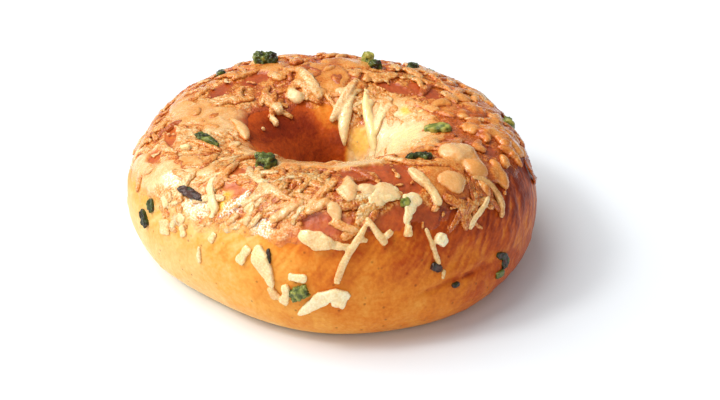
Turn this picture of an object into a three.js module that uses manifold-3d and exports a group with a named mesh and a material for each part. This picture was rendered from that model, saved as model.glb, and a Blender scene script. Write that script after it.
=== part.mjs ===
// A jalapeno asiago bagel, baked: one ring of dough with a flat base, a browned coat of melted
// cheese over its top and down into the hole, and shreds, lumps and diced jalapeno baked onto it.
// Millimetres, +Z up. The origin is on the surface that the bagel rests on, under its middle.
// A place on the ring is two angles in degrees. "around" is counted anticlockwise from +X, seen
// from above. "over" goes over the ring's section: 0 on the outside, 90 on top, 180 in the hole.
import * as THREE from "three";
import { mergeVertices } from "three/addons/utils/BufferGeometryUtils.js";
import Module from "manifold-3d";

const wasm = await Module();
wasm.setup();

const DEGREE = Math.PI / 180;

// The dough ring, shaped by hand and so a little uneven
const OUTER_RADIUS = 54.6;
const OUTER_WAVES = [
  { count: 2, size: 1.2, from: -39 },
  { count: 3, size: 0.7, from: 36 },
  { count: 5, size: 0.9, from: -20 },
];
const OUTER_MIDDLE = { x: 0.3, y: 1.5 };
const HOLE_RADIUS = { x: 10.2, y: 10 };
const HOLE_MIDDLE = { x: 3, y: -4.7 };
const HEIGHT = 36.9;
const HEIGHT_WAVES = [
  { count: 1, size: 1.9, from: -52 },
  { count: 2, size: 2, from: 102 },
];
const WIDEST_AT = 0.45;
const CROWN_POWER = 2.15;
const FOOT_POWER = 2.5;
// The base is cut flat at this share of the section's lower half.
const BASE_CUT = 0.93;
// At the front right the dough sagged as it rose, and bulges out below its middle height.
const SAG = { around: 306, size: 2.6, narrowness: 16 };

// The coat of melted cheese: its thickness, and where it ends outside and in the hole
const COAT = 0.7;
const COAT_LUMPS = 0.4;
const COAT_FADE = 14;
const OUTSIDE_EDGE = 36;
const OUTSIDE_WAVES = [
  { count: 1, size: 7, from: 262 },
  { count: 5, size: 6, from: 20 },
  { count: 11, size: 4, from: 9 },
];
const HOLE_EDGE = 158;
const HOLE_WAVES = [
  { count: 1, size: 26, from: 35 },
  { count: 4, size: 7, from: 70 },
];

// How finely the ring is faceted
const AROUND_STEPS = 90;
const OVER_STEPS = 22;

// Grated shreds, from where each starts. heading is 0 along the ring, anticlockwise, and 90 up over it.
const SHRED_THICKNESS = 2;
const SHRED_STEP = 4;
const SHRED_END = 0.7;
const SHREDS = [
  { around: 280, over: 46, heading: 245, length: 17, width: 2.2 },
  { around: 281, over: 50, heading: 287, length: 9, width: 2.4 },
  { around: 262, over: 38, heading: 345, length: 11, width: 3.6 },
  { around: 250, over: 28, heading: 287, length: 11, width: 3.4 },
  { around: 246, over: 24, heading: 258, length: 6, width: 2.8 },
  { around: 221, over: 29, heading: 275, length: 5, width: 2.6 },
  { around: 261, over: 13, heading: 2, length: 4.5, width: 2.4 },
  { around: 298, over: 38, heading: 285, length: 14, width: 1.7 },
  { around: 321, over: 43, heading: 222, length: 11, width: 1.8 },
  { around: 325, over: 41, heading: 258, length: 8, width: 1.8 },
  { around: 80, over: 101, heading: 62, length: 14, width: 2.4 },
  { around: 109, over: 86, heading: 103, length: 10, width: 2.6 },
  { around: 72, over: 111, heading: 105, length: 18, width: 3 },
  { around: 86, over: 121, heading: 92, length: 12, width: 3.6 },
  { around: 56, over: 110, heading: 100, length: 18, width: 4.2 },
  { around: 170, over: 97, heading: 60, length: 11, width: 3.4 },
];

// Flakes, crumbs and melted blobs
const LUMPS = [
  { around: 264, over: 353, heading: 20, length: 8, width: 3.8, height: 1.8 },
  { around: 272, over: 3, heading: 345, length: 8, width: 4.4, height: 1.8 },
  { around: 256, over: 356, heading: 300, length: 6, width: 4, height: 1.6 },
  { around: 214, over: 14, heading: 30, length: 6, width: 5, height: 1.4 },
  { around: 301, over: 29, heading: 60, length: 4, width: 3, height: 1.8 },
  { around: 328, over: 81, heading: 320, length: 11, width: 8, height: 3.4 },
  { around: 328, over: 65, heading: 330, length: 10, width: 6, height: 3.4 },
  { around: 311, over: 59, heading: 70, length: 9, width: 8, height: 3 },
  { around: 288, over: 64, heading: 5, length: 14, width: 7, height: 2.6 },
  { around: 121, over: 111, heading: 90, length: 5, width: 4, height: 2.6 },
  { around: 120, over: 63, heading: 0, length: 7, width: 4, height: 2.6 },
  { around: 32, over: 118, heading: 80, length: 14, width: 9, height: 2.4 },
];

// Diced jalapeno
const DICE = [
  { around: 118, over: 64, heading: 10, length: 5, width: 4, height: 6 },
  { around: 76, over: 72, heading: 330, length: 5, width: 3, height: 5 },
  { around: 190, over: 84, heading: 320, length: 5.4, width: 2.4, height: 2 },
  { around: 231, over: 96, heading: 325, length: 5, width: 4.2, height: 3 },
  { around: 315, over: 99, heading: 20, length: 5.6, width: 2.6, height: 2 },
  { around: 3, over: 106, heading: 10, length: 6, width: 3, height: 1.6 },
  { around: 206, over: 21, heading: 70, length: 4, width: 3, height: 1.8 },
  { around: 205, over: 7, heading: 80, length: 4.4, width: 2.6, height: 1.8 },
  { around: 218, over: 48, heading: 325, length: 5.6, width: 2.6, height: 2 },
  { around: 262, over: 2, heading: 20, length: 5, width: 4, height: 2 },
  { around: 322, over: 357, heading: 75, length: 5, width: 2.6, height: 1.6 },
  { around: 300, over: 11, heading: 350, length: 3.6, width: 3, height: 1.4 },
  { around: 16, over: 42, heading: 60, length: 4.6, width: 3, height: 1.8 },
];

// More of the same toppings go on between those, spread evenly, with a seeded unevenness: shreds all
// round, and dice on the side away from the viewer.
const SEED = 31;
const MORE_SHREDS = { tries: 62, around: [0, 360], over: [44, 124], length: [8, 14], width: [1.8, 2.8] };
const MORE_DICE = { tries: 7, around: [20, 165], over: [8, 58], length: [4, 5.4], width: [2.4, 4] };
const DICE_HEIGHT = 2;
// Steps, as shares of each range, that keep every next place far from the ones before it
const EVEN_STEPS = { around: 0.7549, over: 0.5698 };
// The least distance from a hand-placed topping's start or middle
const CLEAR = 6;

// The sum of waves round the ring
function waves(list, around) {
  return list.reduce((sum, w) => sum + w.size * Math.cos(w.count * (around - w.from) * DEGREE), 0);
}

// How far out and up the section's outline is, as shares of its half width and height
function section(over) {
  const across = Math.cos(over * DEGREE);
  const up = Math.sin(over * DEGREE);
  const power = up >= 0 ? CROWN_POWER : FOOT_POWER;
  const scale = (Math.abs(across) ** power + Math.abs(up) ** power) ** (-1 / power);
  return {
    across: across * scale,
    up: up >= 0 ? up * scale : Math.max(up * scale, -BASE_CUT) / BASE_CUT,
  };
}

// A point on the bare dough
function doughPoint(around, over) {
  const { across, up } = section(over);
  const low = 1 - THREE.MathUtils.smoothstep(up, -0.45, 0.35);
  const nearSag = Math.exp(SAG.narrowness * (Math.cos((around - SAG.around) * DEGREE) - 1));
  const radius = OUTER_RADIUS + waves(OUTER_WAVES, around) + SAG.size * low * nearSag;
  const cos = Math.cos(around * DEGREE);
  const sin = Math.sin(around * DEGREE);
  const outside = new THREE.Vector2(OUTER_MIDDLE.x + radius * cos, OUTER_MIDDLE.y + radius * sin);
  const inside = new THREE.Vector2(
    HOLE_MIDDLE.x + HOLE_RADIUS.x * cos,
    HOLE_MIDDLE.y + HOLE_RADIUS.y * sin,
  );
  const top = HEIGHT + waves(HEIGHT_WAVES, around);
  const widest = HEIGHT * WIDEST_AT;
  const flat = inside.lerp(outside, (1 + across) / 2);
  return new THREE.Vector3(flat.x, flat.y, widest + (up >= 0 ? (top - widest) * up : widest * up));
}

// The directions at a place on the dough: along the ring, up over it, and out of it
function directions(around, over) {
  const small = 0.5;
  const ahead = doughPoint(around + small, over).sub(doughPoint(around - small, over));
  const rise = doughPoint(around, over + small).sub(doughPoint(around, over - small));
  const perDegree = { around: ahead.length(), over: rise.length() };
  const along = ahead.normalize();
  const up = rise.addScaledVector(along, -rise.dot(along)).normalize();
  const out = along.clone().cross(up).normalize();
  return { along, up, out, perDegree };
}

// How thick the melted cheese is at a place
function coat(around, over) {
  const begins = OUTSIDE_EDGE + waves(OUTSIDE_WAVES, around);
  const ends = HOLE_EDGE + waves(HOLE_WAVES, around);
  const cover =
    THREE.MathUtils.smoothstep(over, begins - COAT_FADE, begins) *
    (1 - THREE.MathUtils.smoothstep(over, ends, ends + COAT_FADE));
  const lumps =
    Math.sin((7 * around + 2 * over) * DEGREE) * Math.cos((5 * over - 3 * around) * DEGREE) +
    Math.sin((13 * around - 4 * over) * DEGREE) * Math.sin(6 * over * DEGREE);
  return cover * (COAT + (COAT_LUMPS * lumps) / 2);
}

// A point on the ring with its coat, as it is before the shreds, lumps and dice
function ringPoint(around, over) {
  const { out } = directions(around, over);
  return doughPoint(around, over).addScaledVector(out, coat(around, over));
}

// A closed solid from rings of points: each ring is joined to the next, and a loop of rings to itself
function loft(rings, closed) {
  const sides = rings[0].length;
  const points = rings.flat();
  const faces = [];
  const spans = closed ? rings.length : rings.length - 1;
  for (let i = 0; i < spans; i++) {
    const next = ((i + 1) % rings.length) * sides;
    for (let j = 0; j < sides; j++) {
      const k = (j + 1) % sides;
      faces.push(i * sides + j, next + j, i * sides + k, i * sides + k, next + j, next + k);
    }
  }
  if (!closed) {
    const last = (rings.length - 1) * sides;
    for (let j = 1; j < sides - 1; j++) {
      faces.push(0, j, j + 1, last, last + j + 1, last + j);
    }
  }
  const geometry = new THREE.BufferGeometry().setFromPoints(points);
  return geometry.setIndex(faces);
}

// A manifold-3d solid of a closed geometry
function solidOf(geometry) {
  geometry.deleteAttribute("normal");
  geometry.deleteAttribute("uv");
  const merged = mergeVertices(geometry, 1e-4);
  return new wasm.Manifold(
    new wasm.Mesh({
      numProp: 3,
      vertProperties: merged.attributes.position.array,
      triVerts: new Uint32Array(merged.index.array),
    }),
  );
}

// The dough with its coat. Its sections start and end at the base's two edges, which a flat face joins.
function ring() {
  const halfBase = (1 - BASE_CUT ** FOOT_POWER) ** (1 / FOOT_POWER);
  const baseEdge = Math.atan2(BASE_CUT, halfBase) / DEGREE;
  const sections = [];
  for (let i = 0; i < AROUND_STEPS; i++) {
    const around = (360 * i) / AROUND_STEPS;
    const points = [];
    for (let j = 0; j <= OVER_STEPS; j++) {
      const over = -baseEdge + ((180 + 2 * baseEdge) * j) / OVER_STEPS;
      points.push(j === 0 || j === OVER_STEPS ? doughPoint(around, over) : ringPoint(around, over));
    }
    sections.push(points);
  }
  return solidOf(loft(sections, true));
}

// A shred lies along the ring's surface, half sunk in it, square in section and blunt at its ends.
function shred({ around, over, heading, length, width }) {
  const steps = Math.max(2, Math.round(length / SHRED_STEP));
  const corners = [
    { across: 0.5, out: 0.5 },
    { across: 0.5, out: -0.5 },
    { across: -0.5, out: -0.5 },
    { across: -0.5, out: 0.5 },
  ];
  const rings = [];
  const place = { around, over };
  for (let i = 0; i <= steps; i++) {
    const { along, up, out, perDegree } = directions(place.around, place.over);
    const cos = Math.cos(heading * DEGREE);
    const sin = Math.sin(heading * DEGREE);
    const side = up.clone().multiplyScalar(cos).addScaledVector(along, -sin);
    const fullness = i === 0 || i === steps ? SHRED_END : 1;
    const middle = ringPoint(place.around, place.over);
    rings.push(
      corners.map((corner) =>
        middle
          .clone()
          .addScaledVector(side, corner.across * width * fullness)
          .addScaledVector(out, corner.out * SHRED_THICKNESS * fullness),
      ),
    );
    place.around += ((length / steps) * cos) / perDegree.around;
    place.over += ((length / steps) * sin) / perDegree.over;
  }
  return solidOf(loft(rings, false));
}

// Sets a geometry made about the origin on the ring, its x along heading and its z out of the ring
function settle(geometry, { around, over, heading }) {
  const { along, up, out } = directions(around, over);
  const cos = Math.cos(heading * DEGREE);
  const sin = Math.sin(heading * DEGREE);
  const ahead = along.clone().multiplyScalar(cos).addScaledVector(up, sin);
  const side = out.clone().cross(ahead);
  const turn = new THREE.Matrix4().makeBasis(ahead, side, out);
  return geometry.applyMatrix4(turn.setPosition(ringPoint(around, over)));
}

// A lump is a rounded drop of cheese, half sunk in the ring.
function lump(at) {
  const geometry = new THREE.SphereGeometry(0.5, 9, 6);
  geometry.scale(at.length, at.width, at.height);
  return solidOf(settle(geometry, at));
}

// A diced piece is a short, five-sided chip, wider at one end.
function dice(at) {
  const geometry = new THREE.CylinderGeometry(0.42, 0.5, 1, 5);
  geometry.rotateX(Math.PI / 2);
  geometry.scale(at.length, at.width, at.height);
  return solidOf(settle(geometry, at));
}

// A seeded draw from 0 to 1
function seededDraw(seed) {
  let state = seed;
  return () => {
    state = (state + 0x6d2b79f5) | 0;
    let mixed = Math.imul(state ^ (state >>> 15), 1 | state);
    mixed = (mixed + Math.imul(mixed ^ (mixed >>> 7), 61 | mixed)) ^ mixed;
    return ((mixed ^ (mixed >>> 14)) >>> 0) / 2 ** 32;
  };
}

// Toppings of one kind, spread evenly over the top wherever no hand-placed one is near
function spread(rule, draw) {
  const between = ([low, high], share) => low + (high - low) * share;
  const taken = [...SHREDS, ...LUMPS, ...DICE].map((at) => ringPoint(at.around, at.over));
  const places = [];
  for (let i = 1; i <= rule.tries; i++) {
    const place = {
      around: between(rule.around, (i * EVEN_STEPS.around) % 1),
      over: between(rule.over, (i * EVEN_STEPS.over) % 1),
      heading: 360 * draw(),
      length: between(rule.length, draw()),
      width: between(rule.width, draw()),
      height: DICE_HEIGHT,
    };
    const middle = ringPoint(place.around, place.over);
    if (taken.every((point) => point.distanceTo(middle) > CLEAR)) {
      places.push(place);
    }
  }
  return places;
}

// One solid of it all. A hollow that the toppings seal is filled, and a loose scrap is dropped.
function bagel() {
  const draw = seededDraw(SEED);
  const solid = wasm.Manifold.union([
    ring(),
    ...[...SHREDS, ...spread(MORE_SHREDS, draw)].map(shred),
    ...LUMPS.map(lump),
    ...[...DICE, ...spread(MORE_DICE, draw)].map(dice),
  ]);
  const largestFirst = solid.decompose().sort((a, b) => b.volume() - a.volume());
  const { vertProperties, triVerts } = largestFirst[0].getMesh();
  const geometry = new THREE.BufferGeometry();
  geometry.setAttribute("position", new THREE.BufferAttribute(vertProperties, 3));
  geometry.setIndex(new THREE.BufferAttribute(triVerts, 1));
  geometry.computeVertexNormals();
  const crust = new THREE.MeshStandardMaterial({ color: 0xd98b3f, roughness: 0.45, metalness: 0 });
  const mesh = new THREE.Mesh(geometry, crust);
  mesh.name = "bagel";
  return mesh;
}

const group = new THREE.Group();
group.add(bagel());

export default group;
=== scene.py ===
"""A jalapeno asiago bagel: golden crust, melted and browned cheese, and what is baked onto it.

A place on the ring is two angles in degrees, as in the solid. "around" is counted anticlockwise
from +X, seen from above. "over" goes over the ring's section: 0 outside, 90 on top, 180 in the
hole. Sizes are in millimetres until a mesh gets them.
"""

import math
from functools import partial

import bpy
import numpy as np
from mathutils import Matrix, Vector, noise
from mathutils.bvhtree import BVHTree
from mathutils.kdtree import KDTree


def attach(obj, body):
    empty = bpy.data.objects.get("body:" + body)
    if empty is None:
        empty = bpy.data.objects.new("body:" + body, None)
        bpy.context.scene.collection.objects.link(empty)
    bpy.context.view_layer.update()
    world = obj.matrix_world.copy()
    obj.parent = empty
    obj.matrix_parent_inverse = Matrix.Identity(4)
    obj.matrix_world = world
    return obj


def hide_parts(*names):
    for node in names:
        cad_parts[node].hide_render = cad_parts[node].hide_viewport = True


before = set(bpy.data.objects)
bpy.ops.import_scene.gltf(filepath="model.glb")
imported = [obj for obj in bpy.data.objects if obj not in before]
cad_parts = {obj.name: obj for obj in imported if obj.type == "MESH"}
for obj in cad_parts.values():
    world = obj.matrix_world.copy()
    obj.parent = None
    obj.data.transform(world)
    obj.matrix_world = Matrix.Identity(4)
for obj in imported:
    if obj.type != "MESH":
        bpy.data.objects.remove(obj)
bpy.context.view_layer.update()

MM = 0.001

# The dough ring: each wave is (times round, mm, turned by this many degrees)
OUTER_RADIUS = 54.6
OUTER_WAVES = [(2, 1.2, -39), (3, 0.7, 36), (5, 0.9, -20)]
OUTER_MIDDLE = (0.3, 1.5)
HOLE_RADIUS = (10.2, 10.0)
HOLE_MIDDLE = (3.0, -4.7)
HEIGHT = 36.9
HEIGHT_WAVES = [(1, 1.9, -52), (2, 2.0, 102)]
WIDEST_AT = 0.45
CROWN_POWER = 2.15
FOOT_POWER = 2.5
BASE_CUT = 0.93
# The low bulge at the front right: around, mm and narrowness
SAG = (306, 2.6, 16)

# The solid's coat: its thickness, the degrees over which it fades out, where it begins and ends
COAT = 0.7
COAT_LUMPS = 0.4
COAT_FADE = 14
COAT_BEGINS = 36
COAT_BEGINS_WAVES = [(1, 7, 262), (5, 6, 20), (11, 4, 9)]
COAT_ENDS = 158
COAT_ENDS_WAVES = [(1, 26, 35), (4, 7, 70)]

# Where the sheet of cheese ends on the outside and in the hole: (around, over)
SHEET_FOOT = [
    (0, 24), (40, 30), (90, 34), (130, 30), (170, 24), (200, 18), (225, 22), (240, 28), (252, 34),
    (285, 38), (305, 38), (325, 43), (345, 44), (360, 24),
]
SHEET_END = [
    (0, 176), (50, 178), (68, 166), (80, 156), (88, 148), (95, 126), (105, 121), (122, 121),
    (140, 115), (158, 106), (176, 110), (190, 114), (230, 128), (300, 140), (340, 170), (360, 176),
]
# Bare crust: (around, over, half length along the ring, half width over it)
BARE = [
    (286, 86, 10, 4.2), (297, 70, 3.5, 4), (292, 43, 10, 4.2), (268, 47, 7, 2.6),
    (190, 48, 3.5, 2.4), (181, 61, 5, 1.8), (130, 84, 5, 2.6), (146, 75, 6, 2.4), (44, 90, 6, 2.6),
    (59, 100, 4.5, 2.2), (29, 68, 3, 1.8), (343, 89, 3, 4), (342, 69, 3.4, 2.6), (225, 79, 4, 1.8),
    (233, 61, 4, 1.8), (100, 70, 6, 2.2), (70, 62, 5, 2.4), (19, 40, 5, 2), (70, 149, 3.2, 4.6),
]
# Smooth, thicker sheets of cheese, as BARE
SMOOTH = [
    (200, 38, 5, 5), (203, 50, 5, 6), (205, 63, 5, 4.5), (213, 68, 4, 3), (169, 92, 8, 5),
    (165, 73, 6, 7), (158, 57, 5, 4), (165, 101, 6, 3), (98, 98, 7, 9), (87, 78, 8, 4),
    (120, 77, 5, 3.4), (27, 95, 5, 7), (16, 77, 4, 6), (22, 58, 3.4, 6), (357, 73, 3, 5),
    (19, 129, 9, 12), (47, 133, 7, 12), (312, 113, 8, 5), (311, 62, 6, 7), (190, 34, 6, 4),
    (330, 51, 4, 5), (232, 108, 5, 4), (248, 108, 8, 4.4), (268, 108, 8, 4.4), (284, 105, 6, 3.4),
    (200, 112, 6, 4),
]
# Patches of painted glints on the cheese: a paler tone and white specks that stand in for
# highlights
GLINT_PATCHES = [
    (208, 48, 4, 3), (224, 39, 5, 4), (250, 39, 3.8, 4.2), (237, 48, 3.4, 2.6), (267, 32, 3, 2),
]

# Clear golden fat
AMBER = [(70, 149, 3.4, 4.8), (39.5, 115, 2.6, 1.8), (232, 50, 2.4, 4), (110, 132, 3, 4)]

# Pale pieces that can be told apart in the photograph: tone, height, path of (around, over, width)
PALE_PIECES = [
    (0.9, 1.7, [
        (262, -19, 1.4), (264.5, -11, 2.6), (267.5, -3, 3.2), (271, 3, 3.4), (275.5, 1, 2.8),
    ]),
    (0.9, 1.7, [(271, -1, 3.4), (274.5, -3.5, 4)]),
    (0.66, 2.9, [(261.5, 40, 3), (265, 37.5, 3.8), (268.5, 35.5, 3.8), (271, 34.5, 2.8)]),
    (0.6, 1.6, [(270, 34.5, 1.9), (275, 32.5, 2)]),
    (0.62, 1.9, [
        (280, 46.5, 1.4), (279, 41.5, 1.6), (276.5, 34.5, 1.9), (275, 29.5, 1.6),
        (273.5, 21.5, 1.7), (272, 10.5, 2.4),
    ]),
    (0.6, 1.5, [(280, 35.5, 1.2), (277.5, 36.5, 1.6), (276, 34.5, 1.4)]),
    (0.62, 1.8, [(280, 49.5, 1.4), (282.5, 40.5, 1.5), (285, 32, 2.2)]),
    (0.66, 2, [(285.5, 40, 2.1), (286.5, 36.5, 2.1)]),
    (0.78, 1.9, [
        (250, 28.5, 2.4), (250.5, 23.5, 4), (251.5, 17.5, 4.3), (253.5, 12.5, 3.4), (255, 3.5, 2.4),
    ]),
    (0.55, 1.2, [(254.5, 2.5, 2.4), (256.5, -7.5, 2.6)]),
    (0.8, 1.6, [(258.5, 6.5, 2), (259, -1, 2.2), (258, -10.5, 2.4)]),
    (0.84, 1.5, [(259.5, 12.5, 2.1), (264.5, 12.5, 2.1)]),
    (0.76, 1.4, [(247, 25.5, 2.4), (244.5, 12.5, 2.7)]),
    (0.74, 0.8, [(214.5, 20, 4), (216, 7.5, 4.3)]),
    (0.76, 0.9, [(219, 27.5, 2.1), (222.5, 26, 2.4)]),
    (0.78, 1, [(222, 22, 1.9), (224, 14.5, 2.1)]),
    (0.8, 0.8, [(230, 13, 1.2), (230.5, -0.5, 1.4)]),
    (0.76, 0.9, [(234.5, 27, 1.9), (233.5, 19, 2.1)]),
    (0.78, 1.1, [(210.5, 34.5, 1.7), (214, 29, 2)]),
    (0.8, 1.6, [(222.5, 64.5, 1.6), (228, 49.5, 2), (232, 39.5, 1.6), (231, 35.5, 1.2)]),
    (0.78, 1.2, [(281.5, 58, 1.6), (284, 62, 3), (288, 64, 4.6), (292, 62.5, 4)]),
    (0.84, 1.2, [(292.5, 58.5, 2.4), (295.5, 56.5, 3.4), (298.5, 53, 2.2)]),
    (0.84, 1.4, [(295.5, 55.5, 2.9), (293, 48, 2.5), (291.5, 42, 1.5)]),
    (0.66, 1.8, [(301.5, 82.5, 2.1), (302.5, 67.5, 2.5), (303.5, 57.5, 2.2), (303, 48, 2.6)]),
    (0.6, 1.9, [(292, 41, 1.6), (291.5, 34, 2.1)]),
    (0.92, 2.8, [(300.5, 31, 2.8), (302.5, 24, 3)]),
    (0.62, 1.3, [(297.5, 37, 1.1), (298.5, 27, 1.3), (300, 12.5, 1.3)]),
    (0.7, 1, [(301.5, 8.5, 1.1), (300.5, 3, 1.1)]),
    (0.45, 1.5, [(321, 58.5, 1.2), (325, 50.5, 1.8), (326, 40.5, 1.9), (324, 25.5, 1.3)]),
    (0.66, 1.5, [(322, 42.5, 1.1), (316.5, 36, 1.6), (313.5, 32, 1.6), (311.5, 27.5, 1.4)]),
]
# Shreds, drops and lobes of the coat, as PALE_PIECES
COAT_PIECES = [
    (0.54, 1.9, [(252, 45, 2.1), (256, 52.5, 2.4), (260, 63, 2.1)]),
    (0.54, 1.8, [(244, 38, 1.9), (244.5, 45.5, 2.1), (244.5, 53, 1.9)]),
    (0.5, 1.7, [(234, 38.5, 1.6), (238, 49, 2.1), (240.5, 62, 1.6)]),
    (0.54, 1.7, [(238, 35, 1.4), (240.5, 44.5, 1.9)]),
    (0.5, 1.9, [(262, 53.5, 2.1), (265.5, 58.5, 2.4), (269, 63.5, 2.1)]),
    (0.64, 2.2, [(269, 61.5, 2.7), (271, 55, 3.5), (272.5, 49, 2.7)]),
    (0.6, 2.2, [(272.5, 77.5, 1.6), (275, 70, 2.7), (276.5, 61, 3.5)]),
    (0.54, 1.8, [(242, 68.5, 2.1), (248.5, 66, 2.1), (254.5, 61, 1.6)]),
    (0.54, 1.7, [(240.5, 50, 1.4), (245, 59.5, 1.9), (248.5, 64.5, 1.4)]),
    (0.54, 1.8, [(270, 49, 1.6), (274, 44.5, 2.1), (277.5, 42.5, 1.6)]),
    (0.55, 3, [(336, 63, 2.7), (333, 53.5, 3.8), (331, 39.5, 3.2)]),
    (0.55, 2.2, [(361, 61, 2.1), (355.5, 54, 2.4), (353, 46, 2.1)]),
    (0.6, 2.2, [(346.5, 54, 2), (347.5, 47, 2.1)]),
    (0.6, 2.2, [(342, 58.5, 2), (338, 51.5, 2.1)]),
    (0.84, 2.6, [
        (74, 110, 2.2), (71.5, 120, 2.6), (66.5, 130, 3), (59, 138.5, 3.2), (49, 147, 3.8),
        (40.5, 154, 4),
    ]),
    (0.8, 2.6, [
        (80, 116.5, 2.4), (85, 126.5, 3), (88.5, 137, 3.2), (89, 146.5, 3.2), (87.5, 154.5, 2.8),
    ]),
    (0.66, 2.4, [(80.5, 104, 2), (86.5, 117, 2.2), (93.5, 128.5, 2.5), (102, 137, 2)]),
    (0.85, 2.2, [(110.5, 88.5, 1.8), (108.5, 102, 2.3), (106.5, 120, 2.6)]),
    (0.8, 2.8, [(122.5, 107, 3.2), (121, 119.5, 3.8)]),
    (0.66, 2.4, [(137, 113, 2.2), (140, 120, 2.5)]),
    (0.7, 1.8, [(148, 119, 1.4), (152, 124, 1.5)]),
    (0.5, 2.8, [(166.5, 95, 2.2), (173, 105.5, 3.4), (185.5, 109.5, 2.8)]),
    (0.9, 2, [(194.5, 73, 1.8), (194, 66.5, 1.8)]),
    (0.5, 2.2, [(27, 101.5, 3.4), (28, 90, 4), (23, 87, 2.2)]),
    (0.84, 4.2, [(320.5, 87, 6), (325.5, 83.5, 8.4), (331, 78.5, 8), (334.5, 74.5, 5)]),
    (0.62, 3.6, [(330.5, 67, 4), (326.5, 64, 6), (321.5, 60.5, 6.4)]),
    (0.7, 3, [(313.5, 71, 6), (312.5, 60.5, 8), (311.5, 51, 5.5)]),
    (0.84, 1.8, [(283.5, 70.5, 2.4), (287, 67.5, 5.4), (290.5, 62, 4.2), (291.5, 57.5, 2.4)]),
    (0.8, 1.5, [(281, 64, 2), (284, 59.5, 3.4), (287, 58, 2.6)]),
    (0.76, 1.7, [(278, 72, 2), (281.5, 69.5, 3.2), (285, 67.5, 2.4)]),
    (0.66, 2.2, [(275, 86, 2.2), (275.2, 78, 2.4), (276, 67, 3.8), (276.5, 61, 3.2)]),
    (0.78, 1.6, [(271.5, 73.5, 1.8), (273.5, 68, 2.4), (276, 62, 2)]),
    (0.62, 2.2, [(309.5, 66, 3.4), (312, 60, 5.6), (314.5, 55, 4.4)]),
    (0.72, 2.8, [(124.5, 62.5, 3), (119.5, 63.5, 4), (115, 64.5, 3.4)]),
    (0.7, 1.6, [(57, 110.5, 2.6), (56, 123, 3), (52.5, 141.5, 2.6)]),
]
# Diced jalapeno: flesh (0 dark skin, 1 olive flesh), height, path of (around, over, width)
DICE = [
    (0.5, 6, [(122, 63, 4), (118.5, 66, 4.4)]),
    (0.3, 4.6, [(119, 66, 3.6), (114.5, 69, 2.8)]),
    (0.8, 4.6, [(80, 69, 2.8), (76.8, 73, 3)]),
    (0.35, 3, [(76, 76, 2.8), (72, 81, 2.4)]),
    (0.45, 2.6, [(184.5, 79, 2.4), (190, 84.5, 2.6), (197, 89.5, 1.3)]),
    (0.42, 4.4, [(225, 100.5, 3.6), (231, 96, 4.6), (238, 90.5, 4)]),
    (0.3, 2.2, [(305, 95, 1.2), (313, 96, 2.3), (315.5, 87, 2)]),
    (0.66, 1.8, [(5.5, 114.5, 2.6), (3, 105.5, 3.4), (357.5, 98, 2.6)]),
    (0.45, 1.8, [(205.5, 26, 2.4), (208.5, 18.5, 2.3)]),
    (0.25, 2, [(203.5, 13.5, 2), (207, 3, 2.5)]),
    (0, 2.2, [(214, 45.5, 1.8), (219.5, 46, 2.4), (226, 44.5, 1)]),
    (0.6, 2.2, [(260, -2, 3.2), (264.5, 5.5, 3.6)]),
    (0.25, 1.6, [(320, 2.5, 1.6), (323, -4, 2.2), (322, -12, 1.7)]),
    (0.6, 1.4, [(319, -14, 2.1), (322.5, -15.5, 1.9)]),
    (0, 1.4, [(297.5, 13, 2), (300.5, 9, 2.2)]),
    (0, 1.2, [(253, 27.5, 0.9), (254, 17.5, 1.2)]),
    (0.1, 1, [(303.5, -5.5, 1.2), (306, -4.5, 1.2)]),
    (0.7, 2, [(17.5, 46, 2.2), (14, 39, 2.4)]),
    (0.6, 2, [(291.5, 55.5, 1.9), (294.5, 55.5, 1.9)]),
]
# Where the solid's listed toppings are: (around, over). Its seeded ones keep clear of them.
SOLID_PLACES = [
    (280, 46), (281, 50), (262, 38), (250, 28), (246, 24), (221, 29), (261, 13), (298, 38),
    (321, 43), (325, 41), (80, 101), (109, 86), (72, 111), (86, 121), (56, 110), (170, 97),
    (264, 353), (272, 3), (256, 356), (214, 14), (301, 29), (328, 81), (328, 65), (311, 59),
    (288, 64), (121, 111), (120, 63), (32, 118), (118, 64), (76, 72), (190, 84), (231, 96),
    (315, 99), (3, 106), (206, 21), (205, 7), (218, 48), (262, 2), (322, 357), (300, 11), (16, 42),
]
# The solid's seeded rule for more shreds and dice: tries, and the least and most around, over,
# length and width
SEED = 31
MORE_SHREDS = (62, (0, 360), (44, 124), (8, 14), (1.8, 2.8))
MORE_DICE = (7, (20, 165), (8, 58), (4, 5.4), (2.4, 4))
EVEN_STEPS = (0.7549, 0.5698)
CLEAR = 6.0

# Where the cheese is paler or browner: by how much, at which place around, how far it reaches,
# and where over the ring it sets in and is full
TOASTED = [
    (0.2, 210, 33, 90, 48), (0.1, 180, 35, 50, 80), (0.36, 30, 50, 98, 122),
    (-0.16, 108, 40, 120, 105), (0.28, 240, 26, 50, 36), (0.1, 262, 34, 96, 104),
    (0.28, 292, 14, 92, 100),
]
# The colours of melted and of grated cheese, by tone
MELTED_TONES = [
    (0, "B4561A"), (0.16, "CE7426"), (0.32, "DE9244"), (0.48, "E4A45E"), (0.64, "EABB80"),
    (0.82, "F0D09A"), (1, "FAE09C"),
]
GRATED_TONES = [(0.2, "C4803F"), (0.42, "DDA562"), (0.6, "ECC284"), (0.8, "F5D9A2"), (1, "FAEBC2")]

# How many fine shreds, crumbs and lobes are thrown on, before those on a wrong place are dropped
FINE_SHREDS = 620
CRUMBS = 170
LOBES = 200
# How finely the melted pieces are joined, and the depth under the crust from which they are cut off
SHRED_VOXEL = 0.4
PALE_VOXEL = 0.3
HIDDEN_DEPTH = 0.25

# The camera: degrees up, mm away, degrees rolled, mm it is moved right and up, and its lens
CAMERA_RISE = 30
CAMERA_AWAY = 600
CAMERA_ROLL = 1
CAMERA_OFF = (7.7, -6.4)
LENS = 111.2


# The ring


def waves(rows, around):
    return sum(size * np.cos(np.radians(count * (around - turn))) for count, size, turn in rows)


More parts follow.
